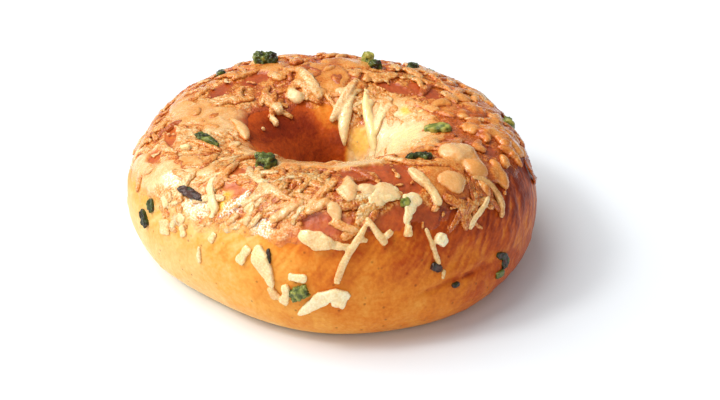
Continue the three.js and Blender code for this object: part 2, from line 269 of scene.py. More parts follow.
def section(over):
    across, up = np.cos(np.radians(over)), np.sin(np.radians(over))
    power = np.where(up >= 0, CROWN_POWER, FOOT_POWER)
    scale = (np.abs(across) ** power + np.abs(up) ** power) ** (-1 / power)
    up = up * scale
    return across * scale, np.where(up >= 0, up, np.maximum(up, -BASE_CUT) / BASE_CUT)


def dough(around, over):
    """Points on the bare dough, in mm."""
    around, over = np.asarray(around, float), np.asarray(over, float)
    cos, sin = np.cos(np.radians(around)), np.sin(np.radians(around))
    across, up = section(over)
    near_sag = np.exp(SAG[2] * (np.cos(np.radians(around - SAG[0])) - 1))
    low = 1 - ease(up, -0.45, 0.35)
    radius = OUTER_RADIUS + waves(OUTER_WAVES, around) + SAG[1] * low * near_sag
    share = (1 + across) / 2
    inside = HOLE_MIDDLE[0] + HOLE_RADIUS[0] * cos, HOLE_MIDDLE[1] + HOLE_RADIUS[1] * sin
    outside = OUTER_MIDDLE[0] + radius * cos, OUTER_MIDDLE[1] + radius * sin
    flat = [a + (b - a) * share for a, b in zip(inside, outside)]
    top = HEIGHT + waves(HEIGHT_WAVES, around)
    widest = HEIGHT * WIDEST_AT
    return np.stack([*flat, widest + np.where(up >= 0, (top - widest) * up, widest * up)], -1)


def directions(around, over):
    """Directions along the ring, over it and out of it, and the mm in a degree of each angle."""
    around, over = np.asarray(around, float), np.asarray(over, float)
    ahead = dough(around + 0.5, over) - dough(around - 0.5, over)
    rise = dough(around, over + 0.5) - dough(around, over - 0.5)
    per_around = np.linalg.norm(ahead, axis=-1)
    per_over = np.linalg.norm(rise, axis=-1)
    along = ahead / per_around[..., None]
    up = rise - along * np.sum(rise * along, -1)[..., None]
    up /= np.linalg.norm(up, axis=-1)[..., None]
    return along, up, np.cross(along, up), per_around, per_over


def ease(value, low, high):
    """Rises smoothly from 0 at low to 1 at high, or falls where low is the higher."""
    t = np.clip((value - low) / (high - low), 0, 1)
    return t * t * (3 - 2 * t)


def band(value, low, full, fading, gone):
    """Rises from 0 at low to 1 at full, and falls to 0 again from fading to gone."""
    return ease(value, low, full) * (1 - ease(value, fading, gone))


def apart(a, b):
    """How many degrees a is ahead of b, from -180 to 180."""
    return (np.asarray(a, float) - b + 180) % 360 - 180


def bell(off, reach):
    """1 where off is 0, less on both sides of it."""
    return np.exp(-((off / reach) ** 2))


def near(around, middle, reach):
    """1 at one place round the ring, less on both sides of it."""
    return bell(apart(around, middle), reach)


def coat(around, over):
    """How thick the solid's melted cheese is, in mm."""
    begins = COAT_BEGINS + waves(COAT_BEGINS_WAVES, around)
    ends = COAT_ENDS + waves(COAT_ENDS_WAVES, around)
    cover = band(over, begins - COAT_FADE, begins, ends, ends + COAT_FADE)
    a, o = np.radians(around), np.radians(over)
    lumps = np.sin(7 * a + 2 * o) * np.cos(5 * o - 3 * a) + np.sin(13 * a - 4 * o) * np.sin(6 * o)
    return cover * (COAT + COAT_LUMPS * lumps / 2)


def cloud(points, size, seed):
    """Smooth noise from about -1 to 1 at each point, its lumps about size mm across."""
    shift = Vector((17.3 * seed, 5.1 * seed, 9.7 * seed))
    flat = points.reshape(-1, 3)
    values = [noise.noise(Vector(point) / size + shift) for point in flat]
    return np.array(values).reshape(points.shape[:-1])


def in_patches(around, over, rows):
    """How far inside a patch each place is: 1 at its middle, 0 on its edge, less outside."""
    best = np.full(np.shape(around), -9.0)
    for middle, height, half_length, half_width in rows:
        per_around, per_over = directions(middle, height)[3:]
        x = apart(around, middle) * per_around / half_length
        y = apart(over, height) * per_over / half_width
        best = np.maximum(best, 1 - np.sqrt(x * x + y * y))
    return best


# How much painted glint a place has: painted highlights in the glint patches
def painted_glint_amount(around, over):
    return np.clip(in_patches(around, over, GLINT_PATCHES) * 2, 0, 1)


def streaks(around, over):
    """Noise drawn out up over the ring, as fat runs and skin wrinkles do."""
    turn = np.radians(around - 0.3 * apart(over, 0))
    places = np.stack([52 * np.cos(turn), 52 * np.sin(turn), np.asarray(over) * 0.12], -1)
    return 0.6 * cloud(places, 1.7, 4) + 0.5 * cloud(places, 0.8, 6)


def crust_relief(points, around, over):
    """How far the crust stands out of the plain dough: lumps, blisters, wrinkles and a crease."""
    free = ease(points[..., 2], 1.0, 7.0)
    lumps = 0.4 * cloud(points, 15, 1) + 0.16 * cloud(points, 6, 2)
    blisters = np.maximum(cloud(points, 2.6, 3) - 0.25, 0) * 0.5
    crease_over = 353 + 8 * np.sin(np.radians(apart(around, 290) * 4))
    off = apart(over, crease_over) * directions(around, over)[4] + 0.9 * cloud(points, 5, 18)
    ends = band(around, 290, 300, 310, 318) * (0.7 + 0.6 * cloud(points, 3, 19))
    crease = (0.5 * bell(off - 1.9, 1.5) - 0.9 * bell(off, 0.75)) * ends
    high = band(apart(over, 0), -12, 12, 36, 50)
    wrinkles = 0.28 * streaks(around, over) * near(around, 335, 34) * high
    return free * (lumps + blisters + wrinkles) + crease


def surface(around, over):
    """Points on the crust, in mm, and the directions out of it."""
    plain = dough(around, over)
    out = directions(around, over)[2]
    return plain + out * crust_relief(plain, around, over)[..., None], out


# Hand tools


def deselect():
    bpy.ops.object.select_all(action="DESELECT")


def link(obj):
    bpy.context.scene.collection.objects.link(obj)


def take(obj):
    deselect()
    obj.select_set(True)
    bpy.context.view_layer.objects.active = obj


def switch(mode):
    bpy.ops.object.mode_set(mode=mode)


def finish_with(obj, kind, **settings):
    """Adds a modifier and applies it."""
    take(obj)
    modifier = obj.modifiers.new(kind.lower(), kind)
    for key, value in settings.items():
        setattr(modifier, key, value)
    bpy.ops.object.modifier_apply(modifier=modifier.name)


def places_of(obj):
    """The mesh's points, in mm."""
    co = np.empty(len(obj.data.vertices) * 3)
    obj.data.vertices.foreach_get("co", co)
    return co.reshape(-1, 3) / MM


def put(obj, points):
    """Moves the mesh's points, given in mm."""
    obj.data.vertices.foreach_set("co", (points * MM).ravel())
    obj.data.update()


def join(pieces, name):
    whole = pieces[0]
    take(whole)
    for piece in pieces:
        piece.select_set(True)
    bpy.ops.object.join()
    whole.name = whole.data.name = name
    return whole


def note(obj, **looks):
    """Writes numbers under their names for each point of the mesh, for its material."""
    for name, values in looks.items():
        attribute = obj.data.attributes.new(name, "FLOAT", "POINT")
        attribute.data.foreach_set("value", np.full(len(obj.data.vertices), values, np.float32))


def swell(obj, depth):
    """Moves each point out of its piece by so many mm."""
    normals = np.array([vertex.normal for vertex in obj.data.vertices])
    put(obj, places_of(obj) + normals * depth[:, None])


def delete_points(obj, unwanted):
    take(obj)
    switch("EDIT")
    bpy.ops.mesh.select_all(action="DESELECT")
    switch("OBJECT")
    obj.data.vertices.foreach_set("select", np.asarray(unwanted, bool))
    switch("EDIT")
    bpy.ops.mesh.select_mode(type="VERT")
    bpy.ops.mesh.delete(type="VERT")
    switch("OBJECT")


# The camera and the light


def stand_camera():
    """A long lens, a little rolled, with the bagel left of and above the picture's middle."""
    camera = bpy.data.objects.new("camera", bpy.data.cameras.new("camera"))
    camera.data.lens = LENS
    lean = Matrix.Rotation(math.radians(90 - CAMERA_RISE), 4, "X")
    roll = Matrix.Rotation(math.radians(CAMERA_ROLL), 4, "Z")
    place = Vector((0, OUTER_MIDDLE[1], 20)) + lean @ Vector((*CAMERA_OFF, CAMERA_AWAY))
    camera.matrix_world = Matrix.Translation(place * MM) @ lean @ roll
    link(camera)
    bpy.context.scene.camera = camera


def hang_light(name, side, strength, width, tint):
    """A far soft light on one side: width is how wide it looks from the bagel, in degrees."""
    lamp = bpy.data.lights.new(name, "SUN")
    lamp.energy = strength
    lamp.angle = math.radians(width)
    lamp.color = tint
    light = bpy.data.objects.new(name, lamp)
    light.rotation_euler = Vector(side).to_track_quat("Z", "Y").to_euler()
    link(light)


def light_room():
    scene = bpy.context.scene
    scene.view_settings.view_transform = "Standard"
    world = bpy.data.worlds.new("white room")
    world.use_nodes = True
    light = world.node_tree.nodes["Background"].inputs
    light["Color"].default_value = (1, 1, 1, 1)
    light["Strength"].default_value = 0.3
    scene.world = world
    hang_light("key", (-0.6, 0.03, 0.79), 2.75, 66, (1, 0.985, 0.96))
    hang_light("sparkle", (-0.67, -0.16, 0.73), 0.85, 12, (1, 0.985, 0.96))
    hang_light("front", (-0.2, -0.8, 0.45), 0.7, 40, (1, 0.99, 0.97))


# Materials


def shade(code):
    """A colour given as an sRGB hex code, as linear light."""
    parts = [int(code[i : i + 2], 16) / 255 for i in (0, 2, 4)]
    return tuple(c / 12.92 if c <= 0.04045 else ((c + 0.055) / 1.055) ** 2.4 for c in parts) + (1,)


def per_metre(size):
    """The scale of a pattern whose parts are so many mm across."""
    return 1 / (size * MM)


def connect(node, links):
    """Links the node's inputs. A link from a node is one from its first output that is in use."""
    for key, source in links.items():
        if isinstance(source, bpy.types.Node):
            source = next(output for output in source.outputs if output.enabled)
        node.id_data.links.new(source, node.inputs[key])


def add_node(tree, kind, settings, links=None):
    """Adds a node, sets its properties, sockets and colour stops, and links its inputs."""
    node = tree.nodes.new("ShaderNode" + kind)
    for key, value in settings.items():
        if key == "stops":
            elements = node.color_ramp.elements
            while len(elements) < len(value):
                elements.new(0.5)
            for element, (position, code) in zip(elements, value):
                element.position = position
                element.color = shade(code)
        elif isinstance(key, int) or key in node.inputs:
            node.inputs[key].default_value = value
        else:
            setattr(node, key, value)
    connect(node, links or {})
    return node


def start_material(name, finish):
    """A material with its own values set, what adds nodes to it, its shader and the place on it."""
    material = bpy.data.materials.new(name)
    material.use_nodes = True
    tree = material.node_tree
    shader = tree.nodes["Principled BSDF"]
    for socket, value in finish.items():
        shader.inputs[socket].default_value = value
    add = partial(add_node, tree)
    return material, add, shader, add("TexCoord", {}).outputs["Object"]


def crust_colour(add, place):
    """The dough's colour, straw to orange to red-brown as it bakes, with pores and with painted
    shade and glow; and two noises.
    """
    bake = add("Attribute", {"attribute_name": "bake"}).outputs["Fac"]
    where = {"Vector": place}
    mottle, fine = (
        add("TexNoise", {"Scale": per_metre(size), "Detail": detail, "Roughness": 0.6}, where)
        for size, detail in ((6, 5), (1.1, 1))
    )
    broad = add("Math", {"operation": "MULTIPLY_ADD", 1: 0.4, 2: -0.3}, {0: mottle})
    both = add("Math", {"operation": "MULTIPLY_ADD", 1: 0.2}, {0: fine, 2: broad})
    # The ramp's level: the bake attribute, with its painted shade and glow, plus mottling
    baked = add("Math", {"operation": "ADD"}, {0: both, 1: bake})
    stops = [
        (0, "FBE3B4"), (0.22, "F6C57E"), (0.42, "ECA548"), (0.6, "DC7E26"), (0.78, "BC4F16"),
        (1, "822A0E"),
    ]
    skin = add("ValToRGB", {"stops": stops}, {"Fac": baked})
    pores = add("TexVoronoi", {"Scale": per_metre(3.2)}, where)
    spots = add("ValToRGB", {"stops": [(0.05, "7A4020"), (0.15, "FFFFFF")]}, {"Fac": pores})
    half = {"data_type": "RGBA", "blend_type": "MULTIPLY", "Factor": 0.5}
    return add("Mix", half, {"A": skin, "B": spots}), mottle, fine


def crust_material():
    """Baked dough: a thin leathery skin that light sinks into a little, with a low satin shine."""
    finish = {
        "Roughness": 0.4, "IOR": 1.45, "Specular IOR Level": 0.15, "Subsurface Weight": 0.1,
        "Subsurface Radius": (1, 0.4, 0.15), "Subsurface Scale": 1.5 * MM,
    }
    material, add, bread, place = start_material("baked_dough_crust", finish)
    skin, mottle, fine = crust_colour(add, place)
    bumps = add("Math", {"operation": "ADD"}, {0: mottle, 1: fine})
    bump = add("Bump", {"Strength": 0.4, "Distance": 0.5 * MM}, {"Height": bumps})
    connect(bread, {"Base Color": skin, "Normal": bump})
    return material


def cheese_material(name, stops, toasted):
    """Hard cheese, grated and melted: cream where thick, tan to orange where thin, and oily; white
    specks in the glint patches are painted highlights.
    """
    finish = {
        "IOR": 1.45, "Coat Weight": 0.3, "Coat Roughness": 0.15, "Subsurface Weight": 0.3,
        "Subsurface Radius": (1, 0.55, 0.25), "Subsurface Scale": 1.1 * MM,
    }
    material, add, cheese, place = start_material(name, finish)
    tone, grain, rough, thin, amber = (
        add("Attribute", {"attribute_name": look}).outputs["Fac"]
        for look in ("tone", "grain", "rough", "thin", "amber")
    )
    blotch, lumps, fine = (
        add("TexNoise", {"Scale": per_metre(size), "Detail": detail}, {"Vector": place})
        for size, detail in ((3.4, 3), (1.3, 1), (0.5, 0))
    )
    # The noises add about this much, which is taken off again, and more on burnt spots
    level = -0.84
    ends = {"From Min": 0.5, "From Max": 0.66, "To Min": level, "To Max": level - toasted}
    burnt = add("MapRange", ends, {"Value": blotch})
    broad = add("Math", {"operation": "MULTIPLY_ADD", 1: 0.8}, {0: lumps, 2: burnt})
    speckle = add("Math", {"operation": "MULTIPLY_ADD", 1: 0.85}, {0: fine, 2: broad})
    mixed = add("Math", {"operation": "MULTIPLY_ADD"}, {0: speckle, 1: rough, 2: tone})
    colour = add("ValToRGB", {"stops": stops}, {"Fac": mixed})
    # White specks where the painted glint is set: painted highlights of the lights on oily grains
    ends = {"From Min": 0.46, "From Max": 0.6, "To Max": 0.9}
    glint_specks = add("MapRange", ends, {"Value": fine})
    painted_glints = add("Math", {"operation": "MULTIPLY"}, {0: glint_specks, 1: grain})
    white = {"data_type": "RGBA", "B": shade("FFF4E6")}
    whole = add("Mix", white, {"Factor": painted_glints, "A": colour})
    skin = crust_colour(add, place)[0]
    shown = add("Mix", {"data_type": "RGBA"}, {"Factor": thin, "A": whole, "B": skin})
    gold = {"data_type": "RGBA", "B": shade("FFC446")}
    oily = add("Mix", gold, {"Factor": amber, "A": shown})
    ends = {"From Min": 0.4, "From Max": 0.6, "To Min": 0.08, "To Max": 0.3}
    gloss = add("MapRange", ends, {"Value": fine})
    dull = add("Math", {"operation": "MULTIPLY_ADD", 1: 0.3}, {0: thin, 2: gloss})
    bumps = add("Math", {"operation": "MULTIPLY_ADD", 1: 0.45}, {0: fine, 2: lumps})
    bump = add("Bump", {"Distance": 0.55 * MM}, {"Height": bumps, "Strength": rough})
    connect(cheese, {"Base Color": oily, "Roughness": dull, "Normal": bump})
    return material


def jalapeno_material():
    """Diced green chilli, baked: dark crumpled skin and olive fleshy parts, with a wet shine, and
    painted shade in its creases.
    """
    finish = {"Roughness": 0.22, "IOR": 1.45}
    material, add, chilli, place = start_material("baked_green_chilli", finish)
    flesh = add("Attribute", {"attribute_name": "flesh"}).outputs["Fac"]
    patches = add("TexNoise", {"Scale": per_metre(1.4), "Detail": 3}, {"Vector": place})
    blotchy = add("Math", {"operation": "MULTIPLY_ADD", 1: 0.9, 2: -0.45}, {0: patches})
    mixed = add("Math", {"operation": "ADD"}, {0: blotchy, 1: flesh})
    stops = [
        (0, "4A2C22"), (0.14, "261A0F"), (0.3, "30360F"), (0.48, "505C22"), (0.66, "82883A"),
        (0.84, "A8A248"), (1, "B8A852"),
    ]
    skin = add("ValToRGB", {"stops": stops}, {"Fac": mixed})
    bump = add("Bump", {"Strength": 0.8, "Distance": 0.5 * MM}, {"Height": patches})
    connect(chilli, {"Base Color": skin, "Normal": bump})
    return material


# The crust


def ring_of(name, columns, rows, low, high):
    """A fine grid laid round the crust, from low to high over it, and each point's two angles."""
    deselect()
    bpy.ops.mesh.primitive_grid_add(x_subdivisions=columns, y_subdivisions=rows, size=1 * MM)
    ring = bpy.context.object
    ring.name = ring.data.name = name
    x, y, _ = places_of(ring).T
    around, over = 360 * (x + 0.5), low + (high - low) * (y + 0.5)
    points, _ = surface(around, over)
    put(ring, points)
    return ring, around, over


def close_seams(ring):
    """Joins the grid's edges where they meet."""
    take(ring)
    switch("EDIT")
    bpy.ops.mesh.select_all(action="SELECT")
    bpy.ops.mesh.remove_doubles(threshold=0.01 * MM)
    bpy.ops.mesh.normals_make_consistent(inside=False)
    switch("OBJECT")
    bpy.ops.object.shade_smooth()


def bake_and_painted_light_of(points, around, over):
    """How far the crust is baked, 0 straw to 1 red-brown; it also holds painted shade and a painted
    glow.
    """
    lift, height = apart(over, 90), apart(over, 0)
    top = 0.4 * bell(lift, 66)
    left = -0.28 * near(around, 205, 44) * (1 - 0.5 * ease(90 - np.abs(lift), 20, 60))
    shoulder = -0.2 * near(around, 233, 20) * band(over, 12, 28, 60, 80)
    # Darker on the right side: partly a deeper bake, partly painted shade on the side away from the
    # key light
    right = 0.26 * near(around, 335, 46) * (0.7 + 0.3 * ease(over, 10, 30))
    # Darker down inside the hole, from higher up on the wall that faces away from the key light:
    # painted shade
    dark_from = 118 - 18 * near(around, 165, 34)
    hole = 0.24 * band(over, dark_from, dark_from + 24, 200, 260)
    # A painted glow: the hole's back wall made paler and more yellow, as if light shone through it
    lit = band(around, 46, 62, 108, 124) * band(over, 106, 128, 190, 225)
    lit *= 1 - ease(over, 137, 152) * ease(around, 80, 92)
    glow = -(0.62 - 0.3 * ease(around, 82, 98)) * lit
    foot = -0.12 * (1 - ease(points[:, 2], 0.5, 6))
    red = 0.3 * near(around, 335, 34) * ease(height, -20, 5)
    runs = (0.16 * ease(height, 2, 16) + red) * streaks(around, over)
    runs *= 1 - ease(height, 40, 60)
    # Darker in the crease: painted shade
    crease = -0.3 * np.minimum(crust_relief(points, around, over) + 0.3, 0)
    mottled = 0.08 * cloud(points, 12, 5)
    return 0.49 + top + left + shoulder + right + hole + glow + foot + runs + crease + mottled


def make_crust():
    crust, around, over = ring_of("crust", 420, 200, -180, 180)
    note(crust, bake=bake_and_painted_light_of(places_of(crust), around, over % 360))
    close_seams(crust)
    crust.data.materials.append(crust_material())
    return crust


# The toppings


def cube():
    deselect()
    bpy.ops.mesh.primitive_cube_add(size=1)
    return bpy.context.object


def on_long_edges(blank, operator, **settings):
    """Uses an edit-mode operator on the mesh's edges along x."""
    switch("EDIT")
    bpy.ops.mesh.select_all(action="DESELECT")
    bpy.ops.mesh.select_mode(type="EDGE")
    switch("OBJECT")
    for edge in blank.data.edges:
        a, b = (blank.data.vertices[i].co for i in edge.vertices)
        edge.select = abs(a.x - b.x) > 0.5
    switch("EDIT")
    operator(**settings)
    switch("OBJECT")


def shred_blank(cuts, segments):
    """A straight grated shred, a unit long, wide and thick, with soft edges and steps along it."""
    blank = cube()
    switch("EDIT")
    bpy.ops.mesh.bevel(offset=0.22, segments=segments, affect="EDGES")
    switch("OBJECT")
    on_long_edges(blank, bpy.ops.mesh.subdivide, number_cuts=cuts)
    return blank


def light_blank():
    """A shred with few faces, eight-sided and narrower at its blunt ends."""
    blank = cube()
    on_long_edges(blank, bpy.ops.mesh.bevel, offset=0.25, segments=1, affect="EDGES")
    on_long_edges(blank, bpy.ops.mesh.subdivide, number_cuts=5)
    points = places_of(blank) * MM
    points[np.abs(points[:, 0]) > 0.49, 1:] *= 0.6
    put(blank, points / MM)
    return blank


def drop_blank(rounds):
    """One round drop, a unit long, wide and thick."""
    deselect()
    bpy.ops.mesh.primitive_ico_sphere_add(subdivisions=rounds, radius=0.5)
    return bpy.context.object


def chunk_blank(rounds):
    """One diced chunk, a unit long, wide and thick, its corners a little soft, finely divided."""
    blank = cube()
    finish_with(blank, "BEVEL", width=0.26, segments=2)
    finish_with(blank, "SUBSURF", subdivision_type="SIMPLE", levels=rounds, render_levels=rounds)
    return blank


def through(at, values, t):
    """A smooth curve through a path's values."""
    return np.polynomial.Polynomial.fit(at, values, min(len(at) - 1, 3))(t)


def lay(blank, path, height, sink, waver=0, phase=0):
    """Lays a copy of a blank along a path of (around, over, width) on the coat.

    sink is the share of its height that is below, and waver is how uneven its width is.
    """
    piece = blank.copy()
    piece.data = blank.data.copy()
    link(piece)
    x, y, z = (places_of(piece) * MM).T
    rows = np.array(path, float)
    rows[:, 0] = np.degrees(np.unwrap(np.radians(rows[:, 0])))
    joints = dough(rows[:, 0], rows[:, 1])
    at = np.concatenate([[0], np.cumsum(np.linalg.norm(np.diff(joints, axis=0), axis=1))])
    at /= at[-1]
    t = x + 0.5
    around, over, width = (through(at, rows[:, i], t) for i in range(3))
    step = 0.02
    per_around, per_over = directions(around, over)[3:]
    slope = [through(at, rows[:, i], t + step) - through(at, rows[:, i], t - step) for i in (0, 1)]
    ahead, rise = slope[0] * per_around, slope[1] * per_over
    length = np.hypot(ahead, rise)
    bulge = 1 + waver * np.sin(7 * t + phase) + 0.5 * waver * np.sin(17 * t + 2.3 * phase)
    side = y * width * bulge
    around = around - rise / length * side / per_around
    over = over + ahead / length * side / per_over
    points, out = surface(around, over)
    thickness = height * (1 + 0.6 * waver * np.sin(11 * t + 1.7 * phase))
    put(piece, points + out * ((z + 0.5 - sink) * thickness + coat(around, over))[:, None])
    return piece


def straight(around, over, heading, length, width, bend=0, taper=0):
    """A path from one place, so many mm along a heading, bent by so many mm in its middle."""
    per_around, per_over = directions(around, over)[3:]
    cos, sin = math.cos(math.radians(heading)), math.sin(math.radians(heading))
    rows = []
    for share, off in [(0, 0), (0.5, bend), (1, 0)]:
        ahead = share * length
        along, aside = cos * ahead - sin * off, sin * ahead + cos * off
        place = around + along / per_around, over + aside / per_over
        rows.append((*place, width * (1 - taper * share)))
    return rows


def seeded_draw(seed):
    """The solid's own seeded draw, so that its shreds and these are the same."""
    state = seed

    def draw():
        nonlocal state
        state = (state + 0x6D2B79F5) & 0xFFFFFFFF
        mixed = ((state ^ (state >> 15)) * (1 | state)) & 0xFFFFFFFF
        again = ((mixed ^ (mixed >> 7)) * (61 | mixed)) & 0xFFFFFFFF
        mixed = ((mixed + again) ^ mixed) & 0xFFFFFFFF
        return (mixed ^ (mixed >> 14)) / 2**32

    return draw


def on_coat(around, over):
    out = directions(around, over)[2]
    return dough(around, over) + out * np.asarray(coat(around, over))[..., None]


def between(ends, share):
    return ends[0] + (ends[1] - ends[0]) * share


def spread(tries, arounds, overs, lengths, widths, draw):
    """The solid's seeded toppings: around, over, heading, length, width."""
    taken = [on_coat(*place) for place in SOLID_PLACES]
    rows = []
    for i in range(1, tries + 1):
        around = between(arounds, (i * EVEN_STEPS[0]) % 1)
        over = between(overs, (i * EVEN_STEPS[1]) % 1)
        heading = 360 * draw()
        length = between(lengths, draw())
        width = between(widths, draw())
        here = on_coat(around, over)
        if all(np.linalg.norm(here - other) > CLEAR for other in taken):
            rows.append((around, over, heading, length, width))
    return rows


def sheet_edges(around):
    return [np.interp(np.asarray(around) % 360, *zip(*line)) for line in (SHEET_FOOT, SHEET_END)]


def toasting_and_shade(around, over, browned=0.23):
    """What a place adds to the cheese's tone. browned is by how much the right side is darker:
    partly browning, partly painted shade on the side away from the key light.
    """
    # Darker on the right: partly browning, partly painted shade
    tone = -1.15 * browned * near(around, 350, 52) * (1 - ease(over, 92, 116))
    for change, middle, reach, none, full in TOASTED:
        tone = tone + change * near(around, middle, reach) * ease(over, none, full)
    return tone


def with_looks(piece, *looks):
    """The piece's points, each with a tone, an amount of painted glint and roughness, for melted
    cheese to take.
    """
    return np.column_stack([places_of(piece), np.tile(looks, (len(piece.data.vertices), 1))])


def make_sheet():
    """The melted sheet: plateaus and creases, smooth lobes, and a browned film on bare patches."""
    sheet, around, over = ring_of("cheese_sheet", 640, 150, 2, 198)
    points = places_of(sheet)
    foot, end = sheet_edges(around)
    _, _, out, _, per_over = directions(around, over)
    ragged = 3.2 * cloud(points, 7, 7) + 1.8 * cloud(points, 3, 8)
    inside = np.minimum(over - foot, end - over) * per_over + ragged
    bare = in_patches(around, over, BARE) * 3 + 0.9 * cloud(points, 2.5, 11)
    open_crust = ease(bare, -0.25, 0.3)
    smooth = ease(in_patches(around, over, SMOOTH) + 0.25 * cloud(points, 3, 12), -0.1, 0.3)
    plateaus = np.abs(cloud(points, 4.6, 9)) + 0.4 * np.abs(cloud(points, 2.2, 10))
    plateaus = ease(plateaus, 0.02, 0.3)
    grit = cloud(points, 1.1, 13)
    coarse = cloud(points, 6, 16)
    front = near(around, 258, 26) * band(over, 40, 50, 66, 80)
    left = near(around, 180, 42) * ease(over, 40, 60)
    rough = 0.1 + 0.1 * front + 0.25 * left + 0.6 * plateaus * (0.75 + 0.6 * coarse) + 0.22 * grit
    drips = 0.14 * streaks(around, over) * ease(over, 105, 118)
    soft = 1.1 + 0.05 * grit + 0.2 * cloud(points, 4, 17) + drips
    height = rough * (1 - smooth) + soft * smooth
    height = height * (1 - open_crust) + (0.14 + 0.14 * grit) * open_crust
    edge = ease(inside, 0, 4.5)
    height = np.minimum(height * (0.25 + 0.75 * edge), 0.5 * inside)
    put(sheet, points + out * np.maximum(height, -0.8)[:, None])
    # In the glint patches the tone is made paler and white specks are mixed in: a painted highlight
    grain = painted_glint_amount(around, over)
    tone = 0.2 - 0.06 * front + 0.36 * np.clip(height, 0, 0.9) + 0.18 * cloud(points, 6, 14)
    # Darker on the right side here, partly browning and partly painted shade
    tone += 0.2 * grit * (1 - smooth) + 0.3 * grain + toasting_and_shade(around, over, browned=0.38)
    film = 0.1 + 0.4 * near(around, 222, 42) + 0.16 * grit
    film += 0.36 * near(around, 30, 50) * ease(over, 98, 122)
    fading = ease(inside + 1.5 * grit, 0.5, 5)
    bake = bake_and_painted_light_of(points, around, over)
    browned = np.where(over < 120, np.clip(bake, 0.74, 0.84), bake)
    note(
        sheet,
        tone=tone + (film - tone) * open_crust,
        grain=grain,
        rough=1 - 0.8 * np.maximum(smooth, open_crust),
        bake=bake + (browned - bake) * open_crust,
        thin=np.maximum(1 - fading, 0.9 * open_crust) * (1 - grain),
        amber=np.clip(in_patches(around, over, AMBER) * 1.6 + 0.3 * grit, 0, 0.85),
    )
    delete_points(sheet, height <= -0.45)
    close_seams(sheet)
    return sheet


def melt(obj, voxel, rounds):
    """Runs the pieces into one another, as heat does."""
    finish_with(obj, "REMESH", mode="VOXEL", voxel_size=voxel * MM, use_smooth_shade=True)
    finish_with(obj, "SMOOTH", factor=0.5, iterations=rounds)


def roughen(obj, size, depth):
    """Small lumps all over, size mm across and depth mm from lowest to highest."""
    lumps = bpy.data.textures.new("lumps", "CLOUDS")
    lumps.noise_scale = size * MM
    settings = {"texture": lumps, "mid_level": 0.5, "texture_coords": "LOCAL"}
    finish_with(obj, "DISPLACE", strength=depth * MM, **settings)


def heights_over(obj, bed):
    """How far each point is above the nearest of the bed, in mm, below 0 inside it."""
    tree = BVHTree.FromObject(bed, bpy.context.evaluated_depsgraph_get())
    heights = []
    for vertex in obj.data.vertices:
        place, normal, _, distance = tree.find_nearest(vertex.co)
        heights.append(math.copysign(distance, (vertex.co - place).dot(normal)))
    return np.array(heights) / MM


def taken_from(obj, samples):
    """Each point takes its tone, amount of painted glint and roughness from the toppings nearest to
    it.
    """
    tree = KDTree(len(samples))
    for i, row in enumerate(samples):
        tree.insert(Vector(row[:3]), i)
    tree.balance()
    taken = []
    for point in places_of(obj):
        closest = tree.find_n(Vector(point), 3)
        weights = np.array([1 / (distance + 0.3) ** 2 for _, _, distance in closest])
        taken.append(weights @ samples[[i for _, i, _ in closest], 3:] / weights.sum())
    return np.array(taken).T


def gap_to_dice(around, over):
    """How far each place is from the middle of the nearest die, in mm."""
    dice = np.array([dough(row[0], row[1]) for _, _, path in DICE for row in path])
    return np.linalg.norm(dough(around, over)[..., None, :] - dice, axis=-1).min(-1)


def fine_shreds(rng):
    """Paths of grated shreds, thrown all over but not on bare crust, smooth sheets or dice."""
    tries = FINE_SHREDS * 6
    ranges = ((0, 360), (8, 175), (0, 360))
    around, over, heading = (rng.uniform(*ends, tries) for ends in ranges)
    front = (np.abs(apart(around, 262)) < 36) & (over < 84)
    heading[front] = rng.normal(44 + 0.7 * (270 - around[front]), 26)
    length = rng.uniform(4, 10.5, tries)
    foot, end = sheet_edges(around)
    per_around, per_over = directions(around, over)[3:]
    few = np.maximum(near(around, 172, 42) * (over > 44), 1.1 * near(around, 350, 30))
    good = rng.random(tries) < per_around / 0.95 * (1 - 0.7 * few)
    good &= ~((np.abs(apart(around, 262)) < 38) & (over > 98))
    good &= (over > foot + rng.uniform(-5, 9, tries)) & (over < end - rng.uniform(0, 15, tries))
    picky = rng.random(tries) < 0.8
    for share in (0, 0.33, 0.67, 1):
        a = around + np.cos(np.radians(heading)) * length * share / per_around
        o = over + np.sin(np.radians(heading)) * length * share / per_over
        good &= (in_patches(a, o, BARE) < -0.12) & (in_patches(a, o, GLINT_PATCHES) < 0.3)
        good &= ~(picky & (in_patches(a, o, SMOOTH) > 0.1)) & (gap_to_dice(a, o) > 3.0)
    paths = []
    for i in np.flatnonzero(good)[:FINE_SHREDS]:
        bend, taper = rng.uniform(-0.8, 0.8), rng.uniform(0, 0.3)
        width = rng.uniform(1.3, 2.6)
        paths.append(straight(around[i], over[i], heading[i], length[i], width, bend, taper))
    return paths


def lift_over(obj, beds):
    """How far each point is above the highest of the surfaces under it."""
    return np.min([heights_over(obj, bed) for bed in beds], axis=0)


def brown_and_shade_round(sheet, shreds):
    """The sheet is darker close to the shreds that lie on it: partly where fat gathered and
    browned, partly painted shade at their feet.
    """
    close = 1 - ease(np.maximum(heights_over(sheet, shreds), 0), 0.2, 1.4)
    tone = np.empty(len(close), np.float32)
    attribute = sheet.data.attributes["tone"].data
    attribute.foreach_get("value", tone)
    attribute.foreach_set("value", (tone - 0.12 * close).astype(np.float32))


def in_front(around, over):
    return (np.abs(apart(around, 258)) < 52) & (over < 104)


